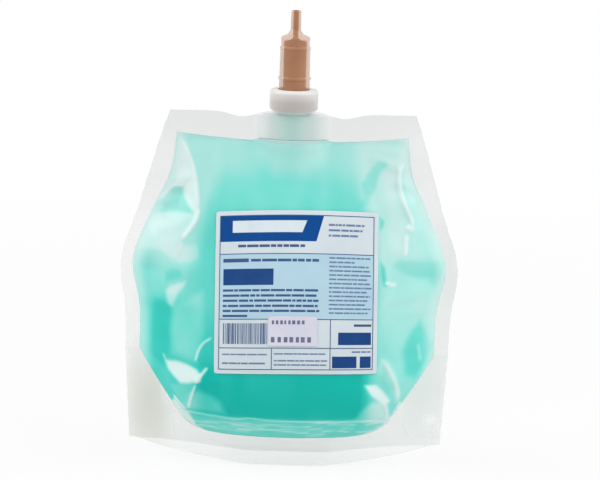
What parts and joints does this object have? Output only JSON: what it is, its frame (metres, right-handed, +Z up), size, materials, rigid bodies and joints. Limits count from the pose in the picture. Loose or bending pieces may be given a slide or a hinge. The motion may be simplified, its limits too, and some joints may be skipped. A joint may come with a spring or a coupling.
{
  "type": "hand soap refill pack",
  "caption": "Clear stand-up film pouch of teal liquid soap with a square front label, a welded spout, a snap collar and a tan rubber dosing nozzle on top.",
  "frame": {"origin": "on the standing surface, under the middle of the pouch", "axes": "+Z up along the nozzle, -Y towards the label, +X to the right as the label is read"},
  "size_m": [0.1822, 0.079, 0.2449],
  "materials": {
    "film": "clear laminate film, slightly milky, glossy",
    "soap": "teal liquid soap, clear to pearly, glossy",
    "label_paper": "smooth printed paper, blue on white and pale blue",
    "sticker_paper": "matt, pale lilac white",
    "clear_plastic": "natural polyethylene, milky and half clear",
    "tan_rubber": "matt tan rubber, slightly half clear at its edges",
    "valve_plastic": "white moulded plastic",
    "valve_steel": "plain stainless steel"
  },
  "bodies": {
    "pack": {"front_film": "film", "back_film": "film", "gusset_film": "film", "soap": "soap", "label": "label_paper", "date_sticker": "sticker_paper", "spout": "clear_plastic", "collar": "clear_plastic", "nozzle_tube": "tan_rubber", "inlet_valve": "valve_plastic", "outlet_valve": "valve_plastic", "outlet_spring": "valve_steel"},
    "inlet_ball": {"inlet_ball": "valve_steel"},
    "outlet_ball": {"outlet_ball": "valve_steel"}
  },
  "joints": [
    {"name": "inlet_ball_lift", "type": "slide", "parent": "pack", "child": "inlet_ball", "axis": [0, 0, 1], "range_m": [0, 0.0018]},
    {"name": "outlet_ball_lift", "type": "slide", "parent": "pack", "child": "outlet_ball", "axis": [0, 0, 1], "range_m": [0, 0.0012], "stiffness_N_per_m": 60, "springref_m": -0.002, "deforming": ["outlet_spring"]}
  ]
}
